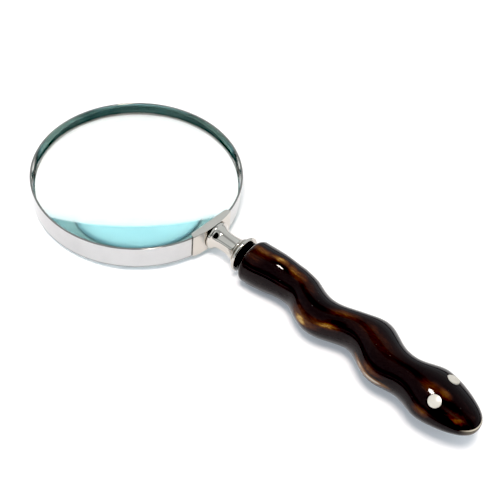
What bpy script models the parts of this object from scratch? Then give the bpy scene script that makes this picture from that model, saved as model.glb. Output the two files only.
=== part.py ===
"""Hand magnifier: a biconvex reading lens in a polished band, on a wavy handle with a serpent's head.

The magnifier is modelled in its own frame and then laid down as it rests on a table.
Own frame: the lens axis is Z, the lens centre is the origin and the handle runs along +X.
At rest the far edge of the band and the belly of the handle touch the table, at Z = 0.
"""

import math

import bmesh
import bpy
from mathutils import Euler, Matrix, Vector

# Driving dimensions, in metres.
GAP = 0.0003
BAND_RADIUS = 0.052
BAND_WALL = 0.001
BAND_HEIGHT = 0.0123
BAND_EDGE = 0.0002
BAND_SLIT = 0.0004

LENS_CURVE = 0.182
LENS_EDGE = 0.0012

SEAT_WIDTH = 0.0012
SEAT_HEIGHT = 0.0012

SADDLE_HALF_ANGLE = math.radians(13.7)
SADDLE_TURN = math.radians(-1.7)
SADDLE_PLATE = 0.0005
LIP_THICKNESS = 0.0009
LIP_WIDTH = 0.00425
LIP_CORNER = 0.0012

FLANGE_START = 0.0693
FLANGE_THICKNESS = 0.0018
FLANGE_RADIUS = 0.0089
SPACER_RADIUS = 0.0072
HANDLE_START = 0.0743
HANDLE_END = 0.2009

STUD_RADIUS = 0.0025
STUD_START = 0.0605
STUD_END = 0.100

EYE_X = 0.1814
EYE_RADIUS = 0.00285
EYE_THICKNESS = 0.0014
EYE_DOME = 0.0003
EYE_TILT = math.radians(34.5)

# Turning points of the handle, in millimetres: distance from the lens axis, value there.
# Between two turning points each value follows half a cosine wave.
HANDLE_SWAY = (
    (74.3, 0.0),
    (99.0, 2.2),
    (118.5, -3.6),
    (139.0, 1.6),
    (159.0, -3.8),
    (175.0, -2.8),
    (202.0, -3.5),
)
HANDLE_HALF_WIDTH = (
    (74.3, 10.8),
    (79.0, 10.6),
    (101.5, 8.9),
    (109.0, 10.0),
    (133.0, 8.5),
    (148.0, 12.6),
    (164.0, 9.3),
    (178.5, 13.5),
    (202.0, 12.2),
)
HANDLE_HALF_DEPTH = (
    (74.3, 10.6),
    (86.0, 10.6),
    (98.0, 9.3),
    (113.0, 9.0),
    (147.0, 10.1),
    (162.0, 9.6),
    (175.5, 9.6),
    (198.0, 7.3),
    (202.0, 7.2),
)
SHOULDER_RADIUS = 3.0
NOSE_LENGTH = 30.0
NOSE_POWER = 2.4

# Turned outline of the neck, in millimetres: distance from the lens axis, radius there.
NECK_OUTLINE = (
    (52.0, 7.1),
    (53.9, 7.1),
    (54.3, 6.9),
    (55.0, 6.1),
    (56.5, 5.2),
    (58.5, 4.8),
    (61.5, 4.75),
    (64.5, 5.1),
    (66.4, 5.6),
    (66.9, 6.2),
    (67.5, 6.6),
    (68.0, 6.3),
    (68.3, 5.9),
    (69.0, 5.9),
)

# How finely the pieces are faceted.
RING_STEPS = 96
LENS_STEPS = 72
ROD_STEPS = 28
BORE_STEPS = 16
HANDLE_RINGS = 46
HANDLE_STEPS = 24

MM = 0.001
WELD = 0.00001
OVERSHOOT = 0.003


def clear_scene():
    for obj in list(bpy.data.objects):
        bpy.data.objects.remove(obj)


def new_collection(name, is_hidden=False):
    collection = bpy.data.collections.new(name)
    collection.hide_render = is_hidden
    bpy.context.scene.collection.children.link(collection)
    return collection


def material(name, colour, metallic, roughness, transmission=0.0):
    made = bpy.data.materials.new(name)
    made.use_nodes = True
    shader = made.node_tree.nodes["Principled BSDF"]
    shader.inputs["Base Color"].default_value = (*colour, 1.0)
    shader.inputs["Metallic"].default_value = metallic
    shader.inputs["Roughness"].default_value = roughness
    shader.inputs["Transmission Weight"].default_value = transmission
    made.diffuse_color = (*colour, 1.0)
    return made


def add_object(name, mesh, look=None):
    """A part of the magnifier, or one of its cutters where it has no look."""
    obj = bpy.data.objects.new(name, mesh)
    obj.parent = pose
    if look is None:
        obj.hide_render = True
        obj.display_type = "WIRE"
        cutters.objects.link(obj)
    else:
        mesh.materials.append(look)
        parts.objects.link(obj)
    return obj


def smooth(mesh, angle=35):
    mesh.shade_smooth()
    mesh.set_sharp_from_angle(angle=math.radians(angle))


def turned(name, profile, look=None, steps=RING_STEPS, is_closed=True, along_x=False):
    """A profile of (radius, height) pairs turned about Z, or about X with the heights along it.

    The profile runs down the outer side. A closed one returns up the inner side.
    """
    mesh = bpy.data.meshes.new(name)
    edges = [(i, i + 1) for i in range(len(profile) - 1)]
    if is_closed:
        edges.append((len(profile) - 1, 0))
    mesh.from_pydata([(radius, 0, height) for radius, height in profile], edges, [])
    obj = add_object(name, mesh, look)
    if along_x:
        obj.rotation_euler = Euler((0, math.pi / 2, 0))
    screw = obj.modifiers.new("turn", "SCREW")
    screw.axis = "Z"
    screw.steps = steps
    screw.render_steps = steps
    screw.use_merge_vertices = True
    screw.merge_threshold = WELD
    screw.use_smooth_shade = True
    return obj


def solid_of_revolution(name, outline, look=None, steps=ROD_STEPS):
    """A turned piece along X from an outline of (x, radius) pairs, closed on its axis at both ends."""
    points = [(0.0, outline[-1][0])]
    points += [(radius, x) for x, radius in reversed(outline)]
    points.append((0.0, outline[0][0]))
    return turned(name, points, look, steps, is_closed=False, along_x=True)


def bore_cutter(name, start, end):
    """The hole that the stud goes into, along X from start to end."""
    radius = STUD_RADIUS + GAP
    return solid_of_revolution(name, ((start, radius), (end, radius)), steps=BORE_STEPS)


def cut(obj, cutter, operation="DIFFERENCE"):
    """Cuts the cutter out of the object or, with UNION, joins it on."""
    boolean = obj.modifiers.new(operation.lower() + "_" + cutter.name, "BOOLEAN")
    boolean.object = cutter
    boolean.operation = operation
    boolean.solver = "EXACT"


def box_cutter(name, low, high):
    mesh = bpy.data.meshes.new(name)
    shape = bmesh.new()
    bmesh.ops.create_cube(shape, size=1.0)
    low, high = Vector(low), Vector(high)
    place = Matrix.Translation((low + high) / 2) @ Matrix.Diagonal((*(high - low), 1.0))
    bmesh.ops.transform(shape, matrix=place, verts=shape.verts)
    shape.to_mesh(mesh)
    shape.free()
    return add_object(name, mesh)


def extruded(name, outline, bottom, top, look=None):
    """A flat outline of (x, y) pairs between two heights, as a mesh."""
    curve = bpy.data.curves.new(name, "CURVE")
    curve.dimensions = "2D"
    curve.fill_mode = "BOTH"
    curve.extrude = (top - bottom) / 2
    spline = curve.splines.new("POLY")
    spline.points.add(len(outline) - 1)
    for point, (x, y) in zip(spline.points, outline):
        point.co = (x, y, 0, 1)
    spline.use_cyclic_u = True
    source = bpy.data.objects.new(name + "_outline", curve)
    mesh = bpy.data.meshes.new_from_object(source)
    bpy.data.objects.remove(source)
    mesh.transform(Matrix.Translation((0, 0, (bottom + top) / 2)))
    shape = bmesh.new()
    shape.from_mesh(mesh)
    bmesh.ops.remove_doubles(shape, verts=shape.verts, dist=WELD / 2)
    bmesh.ops.recalc_face_normals(shape, faces=shape.faces)
    shape.to_mesh(mesh)
    shape.free()
    return add_object(name, mesh, look)


def arc(radius, start, end, steps):
    angles = [start + (end - start) * i / steps for i in range(steps + 1)]
    return [(radius * math.cos(angle), radius * math.sin(angle)) for angle in angles]


def cosine_between(turning_points, x):
    """The value at x of a curve that runs in half cosine waves between its turning points."""
    for (x0, value0), (x1, value1) in zip(turning_points, turning_points[1:]):
        if x <= x1:
            break
    share = (1 - math.cos(math.pi * (x - x0) / (x1 - x0))) / 2
    return value0 + (value1 - value0) * share


def lens_sag(radius):
    """How far the lens surface has fallen from its crown at this radius."""
    return LENS_CURVE - math.sqrt(LENS_CURVE**2 - radius**2)


def lens_surface(radius):
    """Height of the upper lens surface above the lens's middle plane."""
    lens_radius = BAND_RADIUS - BAND_WALL - GAP
    return LENS_EDGE / 2 + lens_sag(lens_radius) - lens_sag(radius)


def make_band(look):
    """The hoop: a strip bent round, whose two ends nearly meet behind the saddle."""
    outer, inner = BAND_RADIUS, BAND_RADIUS - BAND_WALL
    top = BAND_HEIGHT / 2
    upper = [
        (inner, top - BAND_EDGE),
        (inner + BAND_EDGE, top),
        (outer - BAND_EDGE, top),
        (outer, top - BAND_EDGE),
    ]
    lower = [(radius, -height) for radius, height in reversed(upper)]
    band = turned("rim_band", upper + lower, look)
    low = (inner - OVERSHOOT, -BAND_SLIT / 2, -BAND_HEIGHT)
    high = (outer + OVERSHOOT, BAND_SLIT / 2, BAND_HEIGHT)
    cut(band, box_cutter("slit_cutter", low, high))


def make_lens(look):
    """Both faces are parts of spheres, and the rim between them is ground to a cylinder."""
    lens_radius = BAND_RADIUS - BAND_WALL - GAP
    rings = 7
    radii = [lens_radius * i / rings for i in range(rings + 1)]
    upper = [(radius, lens_surface(radius)) for radius in radii]
    lower = [(radius, -height) for radius, height in reversed(upper)]
    turned("lens", upper + lower, look, steps=LENS_STEPS, is_closed=False)


def make_seat(look):
    """The ledge soldered inside the band, which the lens is bedded on with clear cement."""
    outer = BAND_RADIUS - BAND_WALL - GAP
    inner = outer - SEAT_WIDTH
    top = -lens_surface(inner) - GAP
    bottom = top - SEAT_HEIGHT
    turned("lens_seat_ring", [(outer, top), (outer, bottom), (inner, bottom), (inner, top)], look)


def make_saddle(look):
    """A plate bent to the band, a little to one side of the handle, with a lip over the band's top edge."""
    inner = BAND_RADIUS + GAP
    outer = inner + SADDLE_PLATE
    lip_bottom = BAND_HEIGHT / 2 + GAP
    lip_top = lip_bottom + LIP_THICKNESS
    steps = 20
    half = SADDLE_HALF_ANGLE
    plate_outline = arc(outer, -half, half, steps) + arc(inner, half, -half, steps)
    saddle = extruded("saddle", plate_outline, -BAND_HEIGHT / 2, lip_bottom + LIP_THICKNESS / 2, look)
    chord = outer - LIP_WIDTH
    side = outer * math.sin(half)
    lip_outline = arc(outer, -half, half, steps)
    for sign in (1, -1):
        centre = (chord + LIP_CORNER, sign * (side - LIP_CORNER))
        corner = arc(LIP_CORNER, math.pi / 2, math.pi, 4)
        if sign < 0:
            corner = corner[::-1]
        lip_outline += [(centre[0] + x, centre[1] + sign * y) for x, y in corner]
    lip = extruded("saddle_lip", lip_outline, lip_bottom, lip_top)
    for piece in (saddle, lip):
        piece.data.transform(Matrix.Rotation(SADDLE_TURN, 4, "Z"))
    cut(saddle, lip, "UNION")
    smooth(saddle.data)


def make_neck(look):
    """The turned stem. Its base is hollowed to fit the saddle, and its far end is drilled for the stud."""
    neck = solid_of_revolution("neck", [(x * MM, radius * MM) for x, radius in NECK_OUTLINE], look)
    clearance = BAND_RADIUS + GAP + SADDLE_PLATE + GAP
    height = BAND_HEIGHT
    drum = [(0.0, height), (clearance, height), (clearance, -height), (0.0, -height)]
    cut(neck, turned("saddle_clearance", drum, steps=2 * RING_STEPS, is_closed=False))
    cut(neck, bore_cutter("neck_bore", STUD_START - GAP, FLANGE_START + OVERSHOOT))


def make_flange(look):
    """The collar against the spacer, with a rounded edge."""
    edge = FLANGE_THICKNESS / 2
    bore = STUD_RADIUS + GAP
    middle = FLANGE_START + edge
    turns = 6
    profile = [(bore, FLANGE_START + FLANGE_THICKNESS)]
    for i in range(turns + 1):
        angle = math.pi / 2 - math.pi * i / turns
        profile.append((FLANGE_RADIUS - edge + edge * math.cos(angle), middle + edge * math.sin(angle)))
    profile.append((bore, FLANGE_START))
    turned("flange", profile, look, steps=40, along_x=True)


def make_spacer(look):
    bore = STUD_RADIUS + GAP
    start = FLANGE_START + FLANGE_THICKNESS + GAP
    end = HANDLE_START - GAP
    profile = [(bore, end), (SPACER_RADIUS, end), (SPACER_RADIUS, start), (bore, start)]
    turned("spacer", profile, look, steps=32, along_x=True)


def make_stud(look):
    chamfer = 0.0005
    outline = (
        (STUD_START, STUD_RADIUS - chamfer),
        (STUD_START + chamfer, STUD_RADIUS),
        (STUD_END - chamfer, STUD_RADIUS),
        (STUD_END, STUD_RADIUS - chamfer),
    )
    solid_of_revolution("threaded_stud", outline, look, steps=BORE_STEPS)


def handle_section(x):
    """(sway, half width, half depth) of the handle in millimetres, x millimetres from the lens axis."""
    start, end = HANDLE_START / MM, HANDLE_END / MM
    into_shoulder = min(x - start, SHOULDER_RADIUS)
    inset = SHOULDER_RADIUS - math.sqrt(SHOULDER_RADIUS**2 - (SHOULDER_RADIUS - into_shoulder) ** 2)
    into_nose = max(0.0, (x - (end - NOSE_LENGTH)) / NOSE_LENGTH)
    nose = max(0.0, 1 - into_nose**NOSE_POWER) ** (1 / NOSE_POWER)
    half_width = (cosine_between(HANDLE_HALF_WIDTH, x) - inset) * nose
    half_depth = (cosine_between(HANDLE_HALF_DEPTH, x) - inset) * nose
    return cosine_between(HANDLE_SWAY, x), half_width, half_depth


def handle_mesh():
    """The handle as oval sections lofted from the flat shoulder to the rounded snout."""
    start, end = HANDLE_START / MM, HANDLE_END / MM
    shape = bmesh.new()
    rings = []
    for i in range(HANDLE_RINGS):
        x = start + (end - start) * (1 - math.cos(math.pi * i / HANDLE_RINGS)) / 2
        sway, half_width, half_depth = handle_section(x)
        ring = []
        for j in range(HANDLE_STEPS):
            angle = math.tau * j / HANDLE_STEPS
            y = sway + half_width * math.cos(angle)
            ring.append(shape.verts.new(Vector((x, y, half_depth * math.sin(angle))) * MM))
        rings.append(ring)
    for near, far in zip(rings, rings[1:]):
        for j in range(HANDLE_STEPS):
            k = (j + 1) % HANDLE_STEPS
            shape.faces.new((near[j], far[j], far[k], near[k]))
    shape.faces.new(rings[0])
    tip = shape.verts.new(Vector((end, handle_section(end)[0], 0)) * MM)
    for j in range(HANDLE_STEPS):
        shape.faces.new((rings[-1][j], tip, rings[-1][(j + 1) % HANDLE_STEPS]))
    bmesh.ops.recalc_face_normals(shape, faces=shape.faces)
    mesh = bpy.data.meshes.new("handle")
    shape.to_mesh(mesh)
    shape.free()
    smooth(mesh)
    return mesh


def eye_place(side):
    """Where an eye's outer face is centred, turned so that its own Z points out of the head."""
    sway, half_width, half_depth = handle_section(EYE_X / MM)
    across = side * half_width * math.sin(EYE_TILT)
    up = half_depth * math.cos(EYE_TILT)
    outward = Vector((0.0, across / half_width**2, up / half_depth**2)).normalized()
    turn = outward.to_track_quat("Z", "X").to_matrix().to_4x4()
    return Matrix.Translation(Vector((EYE_X / MM, sway + across, up)) * MM) @ turn


def make_handle(look):
    handle = add_object("handle", handle_mesh(), look)
    cut(handle, bore_cutter("handle_bore", HANDLE_START - OVERSHOOT, STUD_END + GAP))
    radius = EYE_RADIUS + GAP
    floor = -EYE_THICKNESS - GAP
    for name, side in (("socket_left", 1), ("socket_right", -1)):
        profile = [(0.0, OVERSHOOT), (radius, OVERSHOOT), (radius, floor), (0.0, floor)]
        socket = turned(name, profile, steps=ROD_STEPS, is_closed=False)
        socket.matrix_local = eye_place(side)
        cut(handle, socket)


def make_eyes(look):
    """Low domed discs set into the head."""
    rings = 3
    profile = []
    for i in range(rings + 1):
        share = i / rings
        profile.append((EYE_RADIUS * share, EYE_DOME * (1 - share**2)))
    profile.append((EYE_RADIUS, -EYE_THICKNESS))
    profile.append((0.0, -EYE_THICKNESS))
    for name, side in (("eye_left", 1), ("eye_right", -1)):
        eye = turned(name, profile, look, steps=ROD_STEPS, is_closed=False)
        eye.matrix_local = eye_place(side)


def resting_tilt(points):
    """The tilt at which these points come down to a table that the far edge of the band touches."""
    return max(math.atan2(-point.z - BAND_HEIGHT / 2, point.x + BAND_RADIUS) for point in points)


def world_points(objects):
    bpy.context.view_layer.update()
    graph = bpy.context.evaluated_depsgraph_get()
    points = []
    for obj in objects:
        evaluated = obj.evaluated_get(graph)
        mesh = evaluated.to_mesh()
        points += [evaluated.matrix_world @ vertex.co for vertex in mesh.vertices]
        evaluated.to_mesh_clear()
    return points


def lay_down():
    """Turns the magnifier to its resting tilt and puts the middle of its underside at the origin."""
    tilt = resting_tilt(world_points([bpy.data.objects["handle"]]))
    pose.rotation_euler = Euler((0, -tilt, 0))
    points = world_points(parts.objects)
    low = Vector([min(point[k] for point in points) for k in range(3)])
    high = Vector([max(point[k] for point in points) for k in range(3)])
    pose.location = (-(low.x + high.x) / 2, -(low.y + high.y) / 2, -low.z)
    bpy.context.view_layer.update()


clear_scene()
parts = new_collection("hand_magnifier")
cutters = new_collection("cutters", is_hidden=True)
pose = bpy.data.objects.new("resting_pose", None)
bpy.context.scene.collection.objects.link(pose)

nickel = material("polished_nickel", (0.78, 0.77, 0.74), 1.0, 0.08)
steel = material("stud_steel", (0.60, 0.60, 0.60), 1.0, 0.25)
glass = material("lens_glass", (0.86, 0.97, 0.96), 0.0, 0.0, transmission=1.0)
ebonite = material("black_ebonite", (0.012, 0.012, 0.012), 0.0, 0.3)
horn = material("dark_horn", (0.045, 0.018, 0.010), 0.0, 0.06)
bone = material("ivory_bone", (0.80, 0.76, 0.64), 0.0, 0.2)

make_band(nickel)
make_lens(glass)
make_seat(nickel)
make_saddle(nickel)
make_neck(nickel)
make_flange(nickel)
make_spacer(ebonite)
make_stud(steel)
make_handle(horn)
make_eyes(bone)
lay_down()
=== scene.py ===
"""Hand magnifier on a white table: the finished surfaces, the light and the camera.

Every piece is made in the magnifier's own frame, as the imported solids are: the lens centre is the
origin, the lens axis is Z and the handle runs along +X. RESTING_POSE then lays it on the table.
"""

import math

import bmesh
import bpy
from mathutils import Euler, Matrix, Vector


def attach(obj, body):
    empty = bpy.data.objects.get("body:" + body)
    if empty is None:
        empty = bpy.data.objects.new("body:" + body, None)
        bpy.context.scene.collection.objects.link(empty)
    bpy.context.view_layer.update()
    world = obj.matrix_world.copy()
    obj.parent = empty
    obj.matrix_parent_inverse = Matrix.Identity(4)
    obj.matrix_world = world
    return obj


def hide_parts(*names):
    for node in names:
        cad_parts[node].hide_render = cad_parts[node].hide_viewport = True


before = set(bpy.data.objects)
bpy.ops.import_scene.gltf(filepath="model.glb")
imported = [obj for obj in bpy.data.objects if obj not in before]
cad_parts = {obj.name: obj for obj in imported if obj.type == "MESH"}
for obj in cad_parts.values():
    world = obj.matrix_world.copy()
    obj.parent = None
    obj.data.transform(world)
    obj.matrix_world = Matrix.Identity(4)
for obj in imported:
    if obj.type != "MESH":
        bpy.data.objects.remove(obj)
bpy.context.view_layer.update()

MM = 0.001
BODY = "root"

# Driving dimensions in metres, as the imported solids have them.
GAP = 0.0003
BAND_RADIUS = 0.052
BAND_WALL = 0.001
BAND_HEIGHT = 0.0123
BAND_EDGE = 0.00025
BAND_SLIT = 0.0004

LENS_RADIUS = BAND_RADIUS - BAND_WALL - GAP
LENS_CURVE = 0.182
LENS_EDGE = 0.0012
LENS_BEVEL = 0.00025
GLASS_BODY = (0.20, 0.745, 0.80)
GLASS_DENSITY = 13.0

SEAT_WIDTH = 0.0012
SEAT_HEIGHT = 0.0012
SEAT_EDGE = 0.0002

SADDLE_HALF_ANGLE = math.radians(13.7)
SADDLE_TURN = math.radians(-1.7)
SADDLE_PLATE = 0.0005
SADDLE_EDGE = 0.00018
SADDLE_TOP_EDGE = 0.0004
LIP_THICKNESS = 0.0009
LIP_EDGE = 0.00035
LIP_WIDTH = 0.00425
LIP_CORNER = 0.0012

FLANGE_START = 0.0693
FLANGE_THICKNESS = 0.0018
FLANGE_RADIUS = 0.0089
FLANGE_EDGE = 0.00085
SPACER_RADIUS = 0.0072
SPACER_EDGE = 0.0005
BORE_EDGE = 0.0002
HANDLE_START = 0.0743
HANDLE_END = 0.2009

STUD_RADIUS = 0.0025
STUD_START = 0.0605
STUD_END = 0.100
THREAD_PITCH = 0.0008
THREAD_DEPTH = 0.00035
STUD_CHAMFER = 0.0006
BORE_RADIUS = STUD_RADIUS + GAP

EYE_X = 0.1814
EYE_RADIUS = 0.00285
EYE_THICKNESS = 0.0014
EYE_DOME = 0.0003
EYE_EDGE = 0.0001
EYE_TILT = math.radians(34.5)
SOCKET_RADIUS = EYE_RADIUS + 0.00008
SOCKET_FLOOR = -EYE_THICKNESS - 0.0001
CUTTER_REACH = 0.003

RESTING_TILT = math.radians(1.961193411)
RESTING_PLACE = (-0.074305, 0.0, 0.007926)
RESTING_POSE = Matrix.Translation(RESTING_PLACE) @ Euler((0, -RESTING_TILT, 0)).to_matrix().to_4x4()

# Turning points of the handle, in millimetres: distance from the lens axis, value there.
HANDLE_SWAY = (
    (74.3, 0.0),
    (99.0, 2.2),
    (118.5, -3.6),
    (139.0, 1.6),
    (159.0, -3.8),
    (175.0, -2.8),
    (202.0, -3.5),
)
HANDLE_HALF_WIDTH = (
    (74.3, 10.8),
    (79.0, 10.6),
    (101.5, 8.9),
    (109.0, 10.0),
    (133.0, 8.5),
    (148.0, 12.6),
    (164.0, 9.3),
    (178.5, 13.5),
    (202.0, 12.2),
)
HANDLE_HALF_DEPTH = (
    (74.3, 10.6),
    (86.0, 10.6),
    (98.0, 9.3),
    (113.0, 9.0),
    (147.0, 10.1),
    (162.0, 9.6),
    (175.5, 9.6),
    (198.0, 7.3),
    (202.0, 7.2),
)
SHOULDER_RADIUS = 3.0
NOSE_LENGTH = 30.0
NOSE_POWER = 2.4

# Turned outline of the neck, in millimetres: distance from the lens axis, radius there.
NECK_OUTLINE = (
    (53.9, 7.1),
    (54.3, 6.9),
    (55.0, 6.1),
    (56.5, 5.2),
    (58.5, 4.8),
    (61.5, 4.75),
    (64.5, 5.1),
    (66.4, 5.6),
    (66.9, 6.2),
    (67.5, 6.6),
    (68.0, 6.3),
    (68.3, 5.9),
    (69.0, 5.9),
)

# Colours of the metal; the last two are painted shade along the band's top and lower edges.
NECK_TONE = (0.605, 0.572, 0.525)
BAND_TONE = (0.58, 0.58, 0.58)
BAND_INSIDE_TONE = (0.55, 0.50, 0.46)
# Painted shade for the band's upper edge.
BAND_TOP_SHADE = (0.26, 0.25, 0.235)
# Painted shade for the band's lower edge.
BAND_BOTTOM_SHADE = (0.12, 0.12, 0.115)

# The camera, in the magnifier's own frame.
CAMERA_PLACE = (0.2346, -0.2226, 0.3129)
CAMERA_AIM = (0.0705, 0.0040, 0.0)
CAMERA_ROLL = math.radians(-6.669)
CAMERA_WIDTH_ANGLE = math.radians(31.20)
BLACK_LEVEL = 0.034

# The table, and the lamps over it.
TABLE_SIZE = 6.0
LAMP_DISTANCE = 1.2
WARM_LIGHT = (1.0, 0.90, 0.84)
COOL_LIGHT = (0.80, 0.88, 1.0)

# The room: its light from the table's level (0) to overhead (1), and how it looks to the camera.
ROOM_LEVEL = 1.2
ROOM_LIGHT = (
    (0.0, (0.10, 0.10, 0.11)),
    (0.05, (0.22, 0.23, 0.24)),
    (0.13, (0.74, 0.80, 0.83)),
    (1.0, (0.68, 0.72, 0.74)),
)
BACKDROP = (0.72, 0.76, 0.78)
# Where the room is dark, the cosines of the angles from there at which it starts to be light and is
# wholly so, and the share of light left.
DARK_SIDE = (0.579, -0.579, 0.574)
DARK_EDGE = (0.915, 0.85)
DARK_LEFT = 0.03
# Dim beams of the room that run along X: angle over the top from +Y, half width, both in degrees, and
# the share of light left.
ROOM_BEAMS = ((81, 12, 0.55), (156, 7, 0.50))


# ---------------------------------------------------------------------------- meshes


def add_piece(name, mesh, look, node, sharp_angle=30):
    """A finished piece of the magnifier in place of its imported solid."""
    mesh.transform(RESTING_POSE)
    mesh.shade_smooth()
    mesh.set_sharp_from_angle(angle=math.radians(sharp_angle))
    mesh.materials.append(look)
    obj = bpy.data.objects.new(name, mesh)
    bpy.context.scene.collection.objects.link(obj)
    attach(obj, BODY)
    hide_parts(node)
    return obj


def filleted(corners, turns=5):
    """A closed outline of (x, y, radius) corners with each corner rounded to its radius."""
    outline = []
    for i, (x, y, radius) in enumerate(corners):
        corner = Vector((x, y))
        if not radius:
            outline.append(corner)
            continue
        before = (Vector(corners[i - 1][:2]) - corner).normalized()
        after = (Vector(corners[(i + 1) % len(corners)][:2]) - corner).normalized()
        half = before.angle(after) / 2
        centre = corner + (before + after).normalized() * (radius / math.sin(half))
        first = corner + before * (radius / math.tan(half)) - centre
        last = corner + after * (radius / math.tan(half)) - centre
        swing = first.angle(last)
        for k in range(turns + 1):
            share = swing * k / turns
            spoke = first * math.sin(swing - share) + last * math.sin(share)
            outline.append(centre + spoke / math.sin(swing))
    return outline


def mesh_of_rings(name, rings, is_loop=False, is_capped=True):
    """Rings of points joined by quads. A ring of one point is a pole, and open ends are capped."""
    points, starts = [], []
    for ring in rings:
        starts.append(len(points))
        points += ring
    faces = []
    pairs = list(zip(range(len(rings)), range(1, len(rings))))
    if is_loop:
        pairs.append((len(rings) - 1, 0))
    for near, far in pairs:
        a, b, count = starts[near], starts[far], max(len(rings[near]), len(rings[far]))
        for j in range(count):
            k = (j + 1) % count
            if len(rings[near]) == 1:
                faces.append((a, b + j, b + k))
            elif len(rings[far]) == 1:
                faces.append((a + j, b, a + k))
            else:
                faces.append((a + j, b + j, b + k, a + k))
    if is_capped and not is_loop:
        for ring, start in ((rings[0], starts[0]), (rings[-1], starts[-1])):
            if len(ring) > 1:
                faces.append(tuple(range(start, start + len(ring))))
    mesh = bpy.data.meshes.new(name)
    mesh.from_pydata(points, [], faces)
    shape = bmesh.new()
    shape.from_mesh(mesh)
    bmesh.ops.recalc_face_normals(shape, faces=shape.faces)
    shape.to_mesh(mesh)
    shape.free()
    return mesh


def section_at(section, angle):
    """A section of (radius, height) stood up at an angle round Z."""
    return [Vector((r * math.cos(angle), r * math.sin(angle), z)) for r, z in section]


def hoop_mesh(name, section, steps, start=0.0, end=math.tau):
    """A closed section of (radius, height) swept about Z from one angle to another."""
    is_loop = end - start >= math.tau
    rings = []
    for i in range(steps if is_loop else steps + 1):
        rings.append(section_at(section, start + (end - start) * i / steps))
    return mesh_of_rings(name, rings, is_loop=is_loop)


def turned_mesh(name, profile, steps, along_x=True, is_closed=False):
    """A profile of (distance along the axis, radius) turned about X, or about Z."""
    rings = []
    for along, radius in profile:
        if radius == 0:
            circle = [(0.0, 0.0)]
        else:
            angles = [math.tau * j / steps for j in range(steps)]
            circle = [(radius * math.cos(angle), radius * math.sin(angle)) for angle in angles]
        if along_x:
            rings.append([Vector((along, a, b)) for a, b in circle])
        else:
            rings.append([Vector((a, b, along)) for a, b in circle])
    return mesh_of_rings(name, rings, is_loop=is_closed, is_capped=False)


def rod_mesh(name, start, end, radius, steps, along_x=True):
    """A plain rod along X, or along Z."""
    profile = [(start, 0.0), (start, radius), (end, radius), (end, 0.0)]
    return turned_mesh(name, profile, steps, along_x)


def keep_faces_flat(obj):
    """Weights the shading by face area, so that small rounded edges don't bend wide faces."""
    weighted = obj.modifiers.new("weighted_normals", "WEIGHTED_NORMAL")
    weighted.keep_sharp = True
    weighted.weight = 80


def cut(mesh, cutter_mesh):
    """The mesh with the cutter taken out of it."""
    helpers = [bpy.data.objects.new("uncut", mesh), bpy.data.objects.new("cutter", cutter_mesh)]
    for helper in helpers:
        bpy.context.scene.collection.objects.link(helper)
    boolean = helpers[0].modifiers.new("cut", "BOOLEAN")
    boolean.object = helpers[1]
    boolean.operation = "DIFFERENCE"
    boolean.solver = "EXACT"
    bpy.context.view_layer.update()
    graph = bpy.context.evaluated_depsgraph_get()
    made = bpy.data.meshes.new_from_object(helpers[0].evaluated_get(graph))
    for helper in helpers:
        bpy.data.objects.remove(helper)
    return made


def cosine_between(turning_points, x):
    """The value at x of a curve that runs in half cosine waves between its turning points."""
    for (x0, value0), (x1, value1) in zip(turning_points, turning_points[1:]):
        if x <= x1:
            break
    share = (1 - math.cos(math.pi * (x - x0) / (x1 - x0))) / 2
    return value0 + (value1 - value0) * share


# ---------------------------------------------------------------------------- shader nodes


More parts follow.
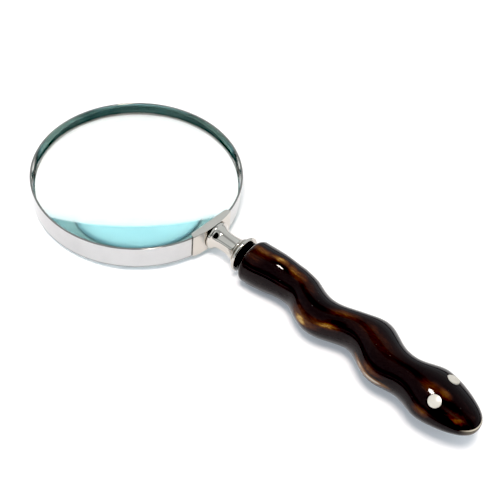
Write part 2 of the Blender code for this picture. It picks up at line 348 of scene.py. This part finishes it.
class Nodes:
    """A node tree, with short ways to add nodes and join them."""

    def __init__(self, tree):
        self.tree = tree

    def plug(self, node, name, value):
        socket = node.inputs[name]
        if isinstance(value, bpy.types.NodeSocket):
            self.tree.links.new(value, socket)
        elif isinstance(value, tuple) and socket.type == "RGBA":
            socket.default_value = (*value, 1.0)
        else:
            socket.default_value = value

    def add(self, kind, inputs=None, **settings):
        node = self.tree.nodes.new(kind)
        for name, value in settings.items():
            setattr(node, name, value)
        for name, value in (inputs or {}).items():
            self.plug(node, name, value)
        return node

    def mapped(self, vector, scale=(1, 1, 1), kind="POINT", location=(0, 0, 0), rotation=(0, 0, 0)):
        inputs = {"Vector": vector, "Scale": scale, "Location": location, "Rotation": rotation}
        return self.add("ShaderNodeMapping", inputs, vector_type=kind).outputs["Vector"]

    def noise(self, vector, scale, detail=2.0, roughness=0.5, output="Factor"):
        inputs = {"Vector": vector, "Scale": scale, "Detail": detail, "Roughness": roughness}
        node = self.add("ShaderNodeTexNoise", inputs)
        return node.outputs[0] if output == "Factor" else node.outputs[1]

    def math(self, operation, a, b=0.0, c=0.0):
        return self.add("ShaderNodeMath", {0: a, 1: b, 2: c}, operation=operation).outputs[0]

    def vector_math(self, operation, a, b=(0, 0, 0)):
        node = self.add("ShaderNodeVectorMath", {0: a, 1: b}, operation=operation)
        return node.outputs["Value" if operation in ("LENGTH", "DOT_PRODUCT") else "Vector"]

    def scaled(self, vector, scale):
        inputs = {"Vector": vector, "Scale": scale}
        return self.add("ShaderNodeVectorMath", inputs, operation="SCALE").outputs["Vector"]

    def span(self, value, from_low, from_high, low=0.0, high=1.0, kind="LINEAR"):
        """The value with one range of it spread over another, and no more than that."""
        inputs = {
            "Value": value,
            "From Min": from_low,
            "From Max": from_high,
            "To Min": low,
            "To Max": high,
        }
        return self.add("ShaderNodeMapRange", inputs, interpolation_type=kind).outputs[0]

    def mix(self, factor, a, b):
        """Colour a where the factor is 0 and colour b where it is 1."""
        node = self.add("ShaderNodeMix", {0: factor}, data_type="RGBA")
        self.plug(node, 6, a)
        self.plug(node, 7, b)
        return node.outputs[2]

    def ramp(self, value, steps):
        """The colour at this value of a ramp through (value, colour) steps."""
        node = self.add("ShaderNodeValToRGB", {"Fac": value})
        elements = node.color_ramp.elements
        while len(elements) < len(steps):
            elements.new(1.0)
        for element, (position, colour) in zip(elements, steps):
            element.position = position
            element.color = (*colour, 1.0)
        return node.outputs["Color"]

    def bump(self, height, strength, distance):
        inputs = {"Height": height, "Strength": strength, "Distance": distance}
        return self.add("ShaderNodeBump", inputs).outputs["Normal"]


class Shader(Nodes):
    """The node tree of a new material."""

    def __init__(self, name):
        self.material = bpy.data.materials.new(name)
        self.material.use_nodes = True
        super().__init__(self.material.node_tree)
        self.surface = self.tree.nodes["Principled BSDF"]
        self.output = self.tree.nodes["Material Output"]

    def set(self, **inputs):
        """Sets the surface's inputs, each named with _ for a space."""
        for name, value in inputs.items():
            self.plug(self.surface, name.replace("_", " "), value)

    def place(self):
        """The point in the magnifier's own frame, in metres."""
        point = self.add("ShaderNodeTexCoord").outputs["Object"]
        return self.mapped(point, kind="TEXTURE", location=RESTING_PLACE, rotation=(0, -RESTING_TILT, 0))


def nickel(name, tone, polish_scale, is_band=False):
    """Polished nickel plate: faint polishing lines, soft hazy marks and a slight unevenness of tone."""
    shader = Shader(name)
    place = shader.place()
    haze = shader.noise(place, 60, detail=4, roughness=0.6)
    lines = shader.noise(shader.mapped(place, polish_scale), 900, detail=2)
    marks = shader.noise(place, 350, detail=3, roughness=0.7)
    dark = tuple(channel * 0.93 for channel in tone)
    colour = shader.mix(shader.span(haze, 0.35, 0.65), dark, tone)
    polish = shader.span(haze, 0.3, 0.75, 0.03, 0.09)
    shader.set(
        Base_Color=band_tone_and_shade(shader, place, colour) if is_band else colour,
        Metallic=1.0,
        Roughness=shader.math("ADD", polish, shader.span(marks, 0.55, 0.8, 0.0, 0.06)),
        Normal=shader.bump(lines, 0.04, 0.0002),
    )
    return shader.material


def band_tone_and_shade(shader, place, colour):
    """The band is darker and warmer inside, and painted shade darkens its lower and upper edges."""
    radius = shader.vector_math("LENGTH", shader.mapped(place, (1, 1, 0)))
    height = shader.add("ShaderNodeSeparateXYZ", {"Vector": place}).outputs["Z"]
    low_edge, top_edge = -BAND_HEIGHT / 2, BAND_HEIGHT / 2
    inside = shader.span(radius, BAND_RADIUS - BAND_WALL * 0.8, BAND_RADIUS - BAND_WALL * 0.5, 1.0, 0.0)
    # Painted shade: a dark line along the band's lower edge, where it reflects the shadow under it.
    bottom_shade = shader.span(height, low_edge + 0.0003, low_edge + 0.0008, 0.92, 0.0, "SMOOTHSTEP")
    # Painted shade: a darker strip along the band's upper edge.
    top_shade = shader.span(height, top_edge - 0.0003, top_edge - 0.0001, 0.0, 0.9, "SMOOTHSTEP")
    colour = shader.mix(inside, colour, BAND_INSIDE_TONE)
    colour = shader.mix(bottom_shade, colour, BAND_BOTTOM_SHADE)
    return shader.mix(top_shade, colour, BAND_TOP_SHADE)


def lens_glass():
    """Clear glass with a blue-green body colour and the faintest smears. It casts no dark shadow."""
    shader = Shader("lens_glass")
    place = shader.place()
    smears = shader.noise(place, 45, detail=5, roughness=0.65)
    shader.set(
        Base_Color=(1.0, 1.0, 1.0),
        Roughness=shader.span(smears, 0.45, 0.8, 0.0, 0.012),
        IOR=1.52,
        Transmission_Weight=1.0,
    )
    clear = shader.add("ShaderNodeBsdfTransparent", {"Color": (1.0, 1.0, 1.0)})
    rays = shader.add("ShaderNodeLightPath")
    sides = {0: rays.outputs["Is Shadow Ray"], 1: shader.surface.outputs[0], 2: clear.outputs[0]}
    mixed = shader.add("ShaderNodeMixShader", sides)
    absorption = shader.add("ShaderNodeVolumeAbsorption", {"Color": GLASS_BODY, "Density": GLASS_DENSITY})
    shader.plug(shader.output, "Surface", mixed.outputs[0])
    shader.plug(shader.output, "Volume", absorption.outputs["Volume"])
    return shader.material


def ebonite():
    """Hard black rubber, turned and lightly polished."""
    shader = Shader("black_ebonite")
    place = shader.place()
    turning = shader.noise(shader.mapped(place, (8, 1, 1)), 700, detail=2)
    dust = shader.noise(place, 1500, detail=2)
    shader.set(
        Base_Color=shader.mix(shader.span(dust, 0.6, 0.8), (0.0015, 0.0015, 0.0015), (0.012, 0.012, 0.012)),
        Specular_IOR_Level=0.12,
        Roughness=shader.span(turning, 0.3, 0.7, 0.22, 0.38),
        Normal=shader.bump(turning, 0.15, 0.0002),
    )
    return shader.material


def stud_steel():
    """Bright zinc-plated steel with machining marks along the thread."""
    shader = Shader("stud_steel")
    place = shader.place()
    cloud = shader.noise(place, 300, detail=3)
    marks = shader.noise(shader.mapped(place, (12, 1, 1)), 900, detail=2)
    shader.set(
        Base_Color=shader.mix(cloud, (0.42, 0.42, 0.41), (0.60, 0.60, 0.58)),
        Metallic=1.0,
        Roughness=shader.span(cloud, 0.3, 0.7, 0.22, 0.4),
        Normal=shader.bump(marks, 0.2, 0.0001),
    )
    return shader.material


def ivory_bone():
    """Polished bone: warm white with faint fibres and pores."""
    shader = Shader("ivory_bone")
    place = shader.place()
    fibre = shader.noise(shader.mapped(place, (1, 7, 1)), 500, detail=3)
    cloud = shader.noise(place, 350, detail=2)
    pores = shader.span(shader.noise(place, 2600, detail=1), 0.68, 0.78)
    tint = shader.mix(shader.span(fibre, 0.35, 0.7), (0.50, 0.48, 0.43), (0.455, 0.43, 0.365))
    tint = shader.mix(shader.span(cloud, 0.4, 0.7, 0.0, 0.4), tint, (0.53, 0.515, 0.475))
    shader.set(
        Base_Color=shader.mix(shader.math("MULTIPLY", pores, 0.5), tint, (0.45, 0.36, 0.24)),
        Roughness=shader.span(fibre, 0.3, 0.7, 0.16, 0.3),
        Normal=shader.bump(fibre, 0.08, 0.0001),
        Subsurface_Weight=0.15,
        Subsurface_Radius=(1.0, 0.8, 0.5),
        Subsurface_Scale=0.001,
    )
    return shader.material


# ---------------------------------------------------------------------------- metal and glass


def lens_sag(radius):
    """How far the lens surface has fallen from its crown at this radius."""
    return LENS_CURVE - math.sqrt(LENS_CURVE**2 - radius**2)


def lens_surface(radius):
    """Height of the upper lens surface above the lens's middle plane."""
    return LENS_EDGE / 2 + lens_sag(LENS_RADIUS) - lens_sag(radius)


def make_band(look):
    outer, inner, top = BAND_RADIUS, BAND_RADIUS - BAND_WALL, BAND_HEIGHT / 2
    corners = [(outer, top), (outer, -top), (inner, -top), (inner, top)]
    section = filleted([(x, y, BAND_EDGE) for x, y in corners])
    half_slit = BAND_SLIT / 2 / BAND_RADIUS
    mesh = hoop_mesh("rim_band_hoop", section, 360, half_slit, math.tau - half_slit)
    keep_faces_flat(add_piece("rim_band_hoop", mesh, look, "rim_band", 50))


def make_lens(look):
    """Two spherical faces, a ground edge and a small bevel on each arris."""
    rings = 60
    reach = LENS_RADIUS - LENS_BEVEL
    radii = [reach * i / rings for i in range(rings + 1)]
    upper = [(lens_surface(radius), radius) for radius in radii]
    edge = lens_surface(reach) - LENS_BEVEL
    upper.append((edge, LENS_RADIUS))
    lower = [(-height, radius) for height, radius in reversed(upper)]
    mesh = turned_mesh("reading_lens", upper + lower, 240, along_x=False)
    add_piece("reading_lens", mesh, look, "lens", 20)


def make_seat(look):
    inner = LENS_RADIUS - SEAT_WIDTH
    top = -lens_surface(inner) - GAP
    bottom = top - SEAT_HEIGHT
    corners = [(LENS_RADIUS, top), (LENS_RADIUS, bottom), (inner, bottom), (inner, top)]
    section = filleted([(x, y, SEAT_EDGE) for x, y in corners], 4)
    mesh = hoop_mesh("seat_ring", section, 300)
    keep_faces_flat(add_piece("seat_ring", mesh, look, "lens_seat_ring", 50))


def make_saddle(look):
    """A plate bent to the band. Its top is folded over the band's edge into a lip that ends in a chord."""
    inner = BAND_RADIUS + GAP
    outer = inner + SADDLE_PLATE
    bottom = -BAND_HEIGHT / 2
    under = BAND_HEIGHT / 2 + GAP
    top = under + LIP_THICKNESS
    chord = outer - LIP_WIDTH
    side = outer * math.sin(SADDLE_HALF_ANGLE)
    rings = []
    steps = 64
    for i in range(steps + 1):
        # The slices crowd towards the ends, where the lip's corners are.
        angle = -SADDLE_HALF_ANGLE * math.cos(math.pi * i / steps)
        across = abs(outer * math.sin(angle))
        into_corner = max(0.0, across - (side - LIP_CORNER))
        lip_x = chord + LIP_CORNER - math.sqrt(max(LIP_CORNER**2 - into_corner**2, 0.0))
        lip = min(lip_x / math.cos(angle), inner - SADDLE_PLATE)
        corners = [
            (outer, top, SADDLE_TOP_EDGE),
            (outer, bottom, SADDLE_EDGE),
            (inner, bottom, SADDLE_EDGE),
            (inner, under, SADDLE_EDGE),
            (lip, under, SADDLE_EDGE),
            (lip, top, LIP_EDGE),
        ]
        rings.append(section_at(filleted(corners, 4), angle))
    mesh = mesh_of_rings("saddle_bracket", rings)
    mesh.transform(Matrix.Rotation(SADDLE_TURN, 4, "Z"))
    keep_faces_flat(add_piece("saddle_bracket", mesh, look, "saddle", 50))


def smooth_through(points, steps):
    """A smooth curve through (distance, radius) points, with so many steps between each two."""
    curve = []
    for i in range(len(points) - 1):
        before = points[max(i - 1, 0)]
        start, end = points[i], points[i + 1]
        after = points[min(i + 2, len(points) - 1)]
        for k in range(steps):
            t = k / steps
            value = []
            for axis in range(2):
                p0, p1, p2, p3 = before[axis], start[axis], end[axis], after[axis]
                value.append(
                    0.5
                    * (
                        2 * p1
                        + (p2 - p0) * t
                        + (2 * p0 - 5 * p1 + 4 * p2 - p3) * t**2
                        + (3 * p1 - p0 - 3 * p2 + p3) * t**3
                    )
                )
            curve.append(tuple(value))
    curve.append(points[-1])
    return curve


def make_neck(look):
    """The turned stem. Its foot is shaped to the saddle and its far end is drilled for the stud."""
    clearance = BAND_RADIUS + GAP + SADDLE_PLATE + GAP
    outline = [(x * MM, r * MM) for x, r in smooth_through(NECK_OUTLINE, 5)]
    foot = [(clearance, 0.0), (clearance, 0.003), (clearance, outline[0][1])]
    floor = STUD_START - GAP
    profile = foot + outline + [(outline[-1][0], BORE_RADIUS), (floor, BORE_RADIUS), (floor, 0.0)]
    mesh = turned_mesh("neck_stem", profile, 96)
    shaped_until = NECK_OUTLINE[3][0] * MM
    for vertex in mesh.vertices:
        fall = clearance - math.sqrt(clearance**2 - vertex.co.y**2)
        share = (shaped_until - vertex.co.x) / (shaped_until - clearance)
        vertex.co.x -= fall * min(max(share, 0.0), 1.0)
    keep_faces_flat(add_piece("neck_stem", mesh, look, "neck", 40))


def washer_section(start, end, radius, edge, turns):
    """Half the section of a ring bored for the stud, with its outer corners rounded to the edge radius."""
    corners = [
        (start, radius, edge),
        (end, radius, edge),
        (end, BORE_RADIUS, BORE_EDGE),
        (start, BORE_RADIUS, BORE_EDGE),
    ]
    return filleted(corners, turns)


def make_flange(look):
    end = FLANGE_START + FLANGE_THICKNESS
    section = washer_section(FLANGE_START, end, FLANGE_RADIUS, FLANGE_EDGE, 7)
    mesh = turned_mesh("neck_flange", section, 128, is_closed=True)
    keep_faces_flat(add_piece("neck_flange", mesh, look, "flange", 50))


def make_spacer(look):
    start = FLANGE_START + FLANGE_THICKNESS + GAP
    section = washer_section(start, HANDLE_START - GAP, SPACER_RADIUS, SPACER_EDGE, 5)
    mesh = turned_mesh("black_washer", section, 96, is_closed=True)
    keep_faces_flat(add_piece("black_washer", mesh, look, "spacer", 50))


def make_stud(look):
    """A rod with a rolled thread and chamfered ends."""
    steps, rows_in_pitch = 24, 8
    rows = round((STUD_END - STUD_START) / THREAD_PITCH * rows_in_pitch)
    rings = []
    for i in range(rows + 1):
        x = STUD_START + (STUD_END - STUD_START) * i / rows
        from_end = min(x - STUD_START, STUD_END - x)
        limit = STUD_RADIUS - max(0.0, STUD_CHAMFER - from_end)
        ring = []
        for j in range(steps):
            angle = math.tau * j / steps
            turn = (x / THREAD_PITCH - j / steps) % 1
            radius = STUD_RADIUS - THREAD_DEPTH * abs(2 * turn - 1)
            radius = min(radius, limit)
            ring.append(Vector((x, radius * math.cos(angle), radius * math.sin(angle))))
        rings.append(ring)
    mesh = mesh_of_rings("stud_rod", rings)
    add_piece("stud_rod", mesh, look, "threaded_stud", 50)


# ---------------------------------------------------------------------------- handle and eyes


def handle_section(x):
    """(sway, half width, half depth) of the handle in millimetres, x millimetres from the lens axis."""
    start, end = HANDLE_START / MM, HANDLE_END / MM
    into_shoulder = min(x - start, SHOULDER_RADIUS)
    inset = SHOULDER_RADIUS - math.sqrt(SHOULDER_RADIUS**2 - (SHOULDER_RADIUS - into_shoulder) ** 2)
    into_nose = max(0.0, (x - (end - NOSE_LENGTH)) / NOSE_LENGTH)
    nose = max(0.0, 1 - into_nose**NOSE_POWER) ** (1 / NOSE_POWER)
    half_width = (cosine_between(HANDLE_HALF_WIDTH, x) - inset) * nose
    half_depth = (cosine_between(HANDLE_HALF_DEPTH, x) - inset) * nose
    return cosine_between(HANDLE_SWAY, x), half_width, half_depth


def on_handle(x, angle):
    """The point of the handle's surface at this distance and angle, from its +Y side over its top."""
    sway, half_width, half_depth = handle_section(x)
    turn = math.radians(angle)
    return Vector((x, sway + half_width * math.cos(turn), half_depth * math.sin(turn))) * MM


def eye_place(side):
    """Where an eye's outer face is centred, turned so that its own Z points out of the head."""
    sway, half_width, half_depth = handle_section(EYE_X / MM)
    across = side * half_width * math.sin(EYE_TILT)
    up = half_depth * math.cos(EYE_TILT)
    outward = Vector((0.0, across / half_width**2, up / half_depth**2)).normalized()
    turn = outward.to_track_quat("Z", "X").to_matrix().to_4x4()
    return Matrix.Translation(Vector((EYE_X / MM, sway + across, up)) * MM) @ turn


def make_handle(look):
    start, end = HANDLE_START / MM, HANDLE_END / MM
    count, steps = 190, 72
    rings = [[Vector((HANDLE_START, 0, 0))]]
    rim = [on_handle(start, 360 * j / steps) for j in range(steps)]
    for share in (0.45, 0.75):
        rings.append([Vector((HANDLE_START, point.y * share, point.z * share)) for point in rim])
    for i in range(count):
        x = start + (end - start) * (1 - math.cos(math.pi * i / count)) / 2
        rings.append([on_handle(x, 360 * j / steps) for j in range(steps)])
    rings.append([on_handle(end, 0)])
    mesh = mesh_of_rings("horn_handle", rings, is_capped=False)
    mesh = cut(mesh, rod_mesh("bore", HANDLE_START - CUTTER_REACH, STUD_END + GAP, BORE_RADIUS, 24))
    for side in (1, -1):
        socket = rod_mesh("socket", CUTTER_REACH, SOCKET_FLOOR, SOCKET_RADIUS, 48, along_x=False)
        socket.transform(eye_place(side))
        mesh = cut(mesh, socket)
    add_piece("horn_handle", mesh, look, "handle", 35)


def make_eyes(look):
    """Low domed discs set into the head."""
    rings = 8
    dome = [(EYE_DOME * (1 - (i / rings) ** 2), EYE_RADIUS * i / rings) for i in range(rings)]
    profile = dome + [
        (EYE_EDGE * 0.3, EYE_RADIUS - EYE_EDGE * 0.3),
        (-EYE_EDGE, EYE_RADIUS),
        (-EYE_THICKNESS + EYE_EDGE, EYE_RADIUS),
        (-EYE_THICKNESS, EYE_RADIUS - EYE_EDGE),
        (-EYE_THICKNESS, 0.0),
    ]
    for name, node, side in (("eye_inlay_left", "eye_left", 1), ("eye_inlay_right", "eye_right", -1)):
        mesh = turned_mesh(name, profile, 48, along_x=False)
        mesh.transform(eye_place(side))
        add_piece(name, mesh, look, node, 50)


# Translucent streaks in the horn, each between two points of its surface. A point is a distance from
# the lens axis in millimetres and an angle in degrees from the +Y side over the top. Then come the
# streak's half width in millimetres and how light it is: 0.3 is red-brown, 0.6 amber and 1 gold.
HORN_STREAKS = (
    ((75.5, 91), (86, 89), 2.4, 0.56),
    ((75.5, 103), (88, 98), 3.6, 0.30),
    ((83, 87), (96, 87), 2.0, 0.66),
    ((87.5, 88), (91, 88), 1.8, 0.90),
    ((95, 86), (101, 89), 2.4, 0.64),
    ((99, 90), (105, 87), 3.0, 0.46),
    ((104, 87), (112, 86), 4.0, 0.26),
    ((75.5, 116), (82, 122), 4.0, 0.28),
    ((111, 167), (116, 166), 2.3, 1.08),
    ((108, 165), (121, 163), 4.4, 0.56),
    ((121, 146), (129, 145), 1.8, 0.82),
    ((112, 158), (131, 145), 3.4, 0.44),
    ((123, 96), (135, 97), 3.0, 0.42),
    ((134, 92), (158, 97), 7.0, 0.25),
    ((141, 90), (147, 94), 2.6, 0.34),
    ((147, 161), (157, 164), 2.4, 0.44),
    ((175, 107), (179, 106), 4.2, 0.38),
    ((180, 101), (185, 103), 2.2, 0.58),
    ((175, 166), (182, 164), 2.6, 0.48),
    ((191.0, 138), (195.5, 127), 1.2, 0.56),
    ((187, 134), (197, 124), 3.0, 0.30),
)
# Pale layers that come to the surface: two points and a half width, given in the same way.
HORN_LAYERS = (
    ((145.5, 177), (151, 183), 0.95),
    ((150.0, 182), (158, 184), 0.85),
)
# From the black of the body to the gold of the lightest streak.
HORN_COLOURS = (
    (0.0, (0.0115, 0.0105, 0.0105)),
    (0.18, (0.0185, 0.0130, 0.0125)),
    (0.36, (0.045, 0.0190, 0.0135)),
    (0.55, (0.092, 0.040, 0.0160)),
    (0.75, (0.175, 0.086, 0.024)),
    (1.0, (0.38, 0.245, 0.080)),
)
LAYER_HALO = (0.17, 0.075, 0.028)
LAYER_COLOURS = ((0.30, 0.25, 0.19), (0.42, 0.36, 0.29))
# The pale layer at the snout begins at this distance from the lens axis and lies below this height.
SNOUT_LAYER_START = 0.1950
SNOUT_LAYER_TOP = 0.0018
SNOUT_COLOURS = ((0.16, 0.12, 0.085), (0.30, 0.27, 0.21))
SNOUT_LINE = (0.62, 0.55, 0.43)
# A painted highlight: a pale ring round the horn's cut end, as far as this distance from the lens axis.
END_GLINT_REACH = 0.0752
PAINTED_END_GLINT = (0.62, 0.58, 0.52)
SPECKS = (0.35, 0.34, 0.32)


def streak_distance(shader, point, start, end, half_width, depth):
    """How far a point is from a streak's middle: 0 there and 1 at its edge. Its depth is in millimetres."""
    first, last = on_handle(*start), on_handle(*end)
    centre = (first + last) / 2
    along = (last - first).normalized()
    sway = handle_section((start[0] + end[0]) / 2)[0] * MM
    outward = Vector((0, centre.y - sway, centre.z)).normalized()
    across = outward.cross(along).normalized()
    outward = along.cross(across)
    rotation = Matrix((along, across, outward)).transposed().to_euler("XYZ")
    size = ((last - first).length / 2 + half_width * MM, half_width * MM, depth * MM)
    return shader.vector_math("LENGTH", shader.mapped(point, size, "TEXTURE", centre, rotation))


def dark_horn():
    """Polished dark horn: near black, with amber and gold streaks glowing through and pale layers."""
    shader = Shader("dark_horn")
    place = shader.place()
    wander = shader.noise(place, 90, detail=3, output="Color")
    wander = shader.vector_math("SUBTRACT", wander, (0.5, 0.5, 0.5))
    bent = shader.vector_math("ADD", place, shader.scaled(wander, 0.005))
    veins = shader.noise(shader.mapped(bent, (0.3, 1, 1)), 210, detail=5, roughness=0.6)
    fibres = shader.noise(shader.mapped(bent, (0.14, 1, 1)), 1500, detail=4, roughness=0.65)
    colour = shader.ramp(horn_glow(shader, bent, veins, fibres), HORN_COLOURS)
    colour = horn_layers(shader, place, fibres, colour)
    colour = snout_layer(shader, place, fibres, colour)
    # Painted highlight round the horn's cut end, where its rounded edge catches the light.
    from_edge = shader.add("ShaderNodeSeparateXYZ", {"Vector": bent}).outputs["X"]
    edge = shader.span(from_edge, END_GLINT_REACH - 0.0003, END_GLINT_REACH, 0.6, 0.0, "SMOOTHSTEP")
    colour = shader.mix(edge, colour, PAINTED_END_GLINT)
    specks = shader.span(shader.noise(place, 900, detail=1), 0.78, 0.82)
    colour = shader.mix(shader.math("MULTIPLY", specks, 0.2), colour, SPECKS)
    waves = shader.noise(place, 55, detail=2)
    polish = shader.span(veins, 0.3, 0.7, 0.03, 0.06)
    shader.set(
        Base_Color=colour,
        Roughness=shader.math("ADD", polish, shader.math("MULTIPLY", specks, 0.3)),
        IOR=1.5,
        Specular_IOR_Level=0.25,
        Normal=shader.bump(waves, 0.06, 0.002),
    )
    return shader.material


def horn_glow(shader, bent, veins, fibres):
    """How light the horn is from 0 to 1: faint veins and the streaks, broken up by fibres and flecks."""
    flecks = shader.noise(shader.mapped(bent, (0.4, 1, 1)), 1900, detail=2, roughness=0.6)
    glow = shader.span(veins, 0.48, 0.75, 0.0, 0.26)
    for start, end, half_width, lightness in HORN_STREAKS:
        distance = streak_distance(shader, bent, start, end, half_width, 5)
        reach = shader.span(distance, 0.0, 1.5, lightness, 0.0, "SMOOTHERSTEP")
        glow = shader.math("SMOOTH_MAX", glow, reach, 0.12)
    fine = shader.span(fibres, 0.25, 0.75, 0.66, 1.26)
    coarse = shader.span(veins, 0.3, 0.6, 0.82, 1.1)
    texture = shader.math("MULTIPLY", fine, coarse)
    texture = shader.math("MULTIPLY", texture, shader.span(flecks, 0.35, 0.7, 0.88, 1.1))
    return shader.math("MULTIPLY", glow, texture)


def horn_layers(shader, place, fibres, colour):
    """The pale layers on the handle's near side, each in a red-brown halo."""
    pale = shader.mix(fibres, *LAYER_COLOURS)
    for start, end, half_width in HORN_LAYERS:
        distance = streak_distance(shader, place, start, end, half_width, 3)
        halo = shader.span(distance, 0.9, 2.4, 0.85, 0.0, "SMOOTHSTEP")
        cover = shader.span(distance, 0.6, 1.2, 1.0, 0.0, "SMOOTHSTEP")
        colour = shader.mix(cover, shader.mix(halo, colour, LAYER_HALO), pale)
    return colour


def snout_layer(shader, place, fibres, colour):
    """The grey-brown lower layer of the snout, with a thin cream line along its upper boundary."""
    parts = shader.add("ShaderNodeSeparateXYZ", {"Vector": place})
    depth = shader.math("SUBTRACT", SNOUT_LAYER_TOP, parts.outputs["Z"])
    ahead = shader.span(parts.outputs["X"], SNOUT_LAYER_START, SNOUT_LAYER_START + 0.006, kind="SMOOTHSTEP")
    below = shader.span(depth, -0.0002, 0.0005, kind="SMOOTHSTEP")
    fade = shader.span(depth, 0.0, 0.006, 0.55, 0.12)
    cover = shader.math("MULTIPLY", shader.math("MULTIPLY", below, ahead), fade)
    colour = shader.mix(cover, colour, shader.mix(fibres, *SNOUT_COLOURS))
    line = shader.span(shader.math("ABSOLUTE", depth), 0.00012, 0.0004, 1.0, 0.0, "SMOOTHSTEP")
    return shader.mix(shader.math("MULTIPLY", line, ahead), colour, SNOUT_LINE)


# ---------------------------------------------------------------------------- table, light, camera


def make_table():
    mesh = bpy.data.meshes.new("table")
    half = TABLE_SIZE / 2
    corners = [(-half, -half, 0), (half, -half, 0), (half, half, 0), (-half, half, 0)]
    mesh.from_pydata(corners, [], [(0, 1, 2, 3)])
    shader = Shader("white_table")
    grain = shader.noise(shader.place(), 400, detail=3)
    shader.set(
        Base_Color=shader.mix(grain, (0.90, 0.90, 0.91), (0.93, 0.93, 0.93)),
        Roughness=0.7,
        Specular_IOR_Level=0.2,
    )
    mesh.materials.append(shader.material)
    table = bpy.data.objects.new("table", mesh)
    bpy.context.scene.collection.objects.link(table)


def make_room():
    """A pale room. Reflections see it dark along the horizon, in one patch and in a few dim beams."""
    world = bpy.data.worlds.new("studio")
    bpy.context.scene.world = world
    world.use_nodes = True
    nodes = Nodes(world.node_tree)
    background = nodes.tree.nodes["Background"]
    toward = nodes.add("ShaderNodeTexCoord").outputs["Generated"]
    parts = nodes.add("ShaderNodeSeparateXYZ", {"Vector": toward})
    from_dark = nodes.vector_math("DOT_PRODUCT", toward, DARK_SIDE)
    level = nodes.span(from_dark, DARK_EDGE[1], DARK_EDGE[0], 1.0, DARK_LEFT, "SMOOTHSTEP")
    level = nodes.math("MULTIPLY", level, ROOM_LEVEL)
    around = nodes.math("ARCTAN2", parts.outputs["Z"], parts.outputs["Y"])
    for angle, half_width, left in ROOM_BEAMS:
        off = nodes.math("ABSOLUTE", nodes.math("SUBTRACT", around, math.radians(angle)))
        first, last = math.radians(half_width * 0.5), math.radians(half_width * 1.5)
        level = nodes.math("MULTIPLY", level, nodes.span(off, first, last, left, 1.0, "SMOOTHSTEP"))
    light = nodes.ramp(parts.outputs["Z"], ROOM_LIGHT)
    is_seen = nodes.add("ShaderNodeLightPath").outputs["Is Camera Ray"]
    nodes.plug(background, "Strength", level)
    nodes.plug(background, "Color", nodes.mix(is_seen, light, BACKDROP))


def make_lamp(name, direction, size, power, colour, is_highlight=False):
    """A round lamp turned to the magnifier. It gives only highlights, or everything but highlights."""
    light = bpy.data.lights.new(name, "AREA")
    light.shape = "DISK"
    light.size = size
    light.energy = power
    light.color = colour
    lamp = bpy.data.objects.new(name, light)
    direction = (RESTING_POSE.to_3x3() @ Vector(direction)).normalized()
    lamp.location = direction * LAMP_DISTANCE
    lamp.rotation_euler = direction.to_track_quat("Z", "Y").to_euler()
    lamp.visible_glossy = is_highlight
    lamp.visible_diffuse = not is_highlight
    lamp.visible_transmission = False
    bpy.context.scene.collection.objects.link(lamp)


def make_camera():
    """The camera's place and aim are in the magnifier's own frame, and its roll is about its own axis."""
    data = bpy.data.cameras.new("camera")
    data.angle = CAMERA_WIDTH_ANGLE
    data.clip_start = 0.01
    camera = bpy.data.objects.new("camera", data)
    bpy.context.scene.collection.objects.link(camera)
    place, aim = Vector(CAMERA_PLACE), Vector(CAMERA_AIM)
    back = (place - aim).normalized()
    right = Vector((0, 0, 1)).cross(back).normalized()
    up = back.cross(right)
    turned_right = math.cos(CAMERA_ROLL) * right - math.sin(CAMERA_ROLL) * up
    turned_up = math.sin(CAMERA_ROLL) * right + math.cos(CAMERA_ROLL) * up
    own = Matrix((turned_right, turned_up, back)).transposed().to_4x4()
    own.translation = place
    camera.matrix_world = RESTING_POSE @ own
    bpy.context.scene.camera = camera


def set_up_view():
    """Plain colours with the darkest shades taken to black, and clean reflections through the glass."""
    scene = bpy.context.scene
    scene.view_settings.view_transform = "Standard"
    scene.view_settings.look = "None"
    scene.view_settings.exposure = 0.0
    scene.view_settings.use_curve_mapping = True
    curve = scene.view_settings.curve_mapping
    curve.black_level = (BLACK_LEVEL, BLACK_LEVEL, BLACK_LEVEL)
    curve.update()
    scene.cycles.use_denoising = True
    scene.cycles.max_bounces = 20
    scene.cycles.transmission_bounces = 16
    scene.cycles.glossy_bounces = 10
    scene.cycles.diffuse_bounces = 4
    scene.cycles.blur_glossy = 0.3
    scene.cycles.sample_clamp_indirect = 8.0


metal = nickel("polished_nickel", NECK_TONE, (0.2, 1, 1))
band_metal = nickel("polished_nickel_band", BAND_TONE, (0.3, 0.3, 3), is_band=True)
make_table()
make_room()
make_lamp("soft_lamp", (0.075, -0.21, 0.98), 0.42, 10.5, WARM_LIGHT)
make_lamp("side_fill", (0.1, -0.8, 0.6), 0.8, 5.8, COOL_LIGHT)
make_lamp("bright_lamp", (0.085, -0.01, 0.98), 0.22, 9.0, WARM_LIGHT, is_highlight=True)
make_camera()
set_up_view()
make_band(band_metal)
make_lens(lens_glass())
make_seat(band_metal)
make_saddle(metal)
make_neck(metal)
make_flange(metal)
make_spacer(ebonite())
make_stud(stud_steel())
make_handle(dark_horn())
make_eyes(ivory_bone())
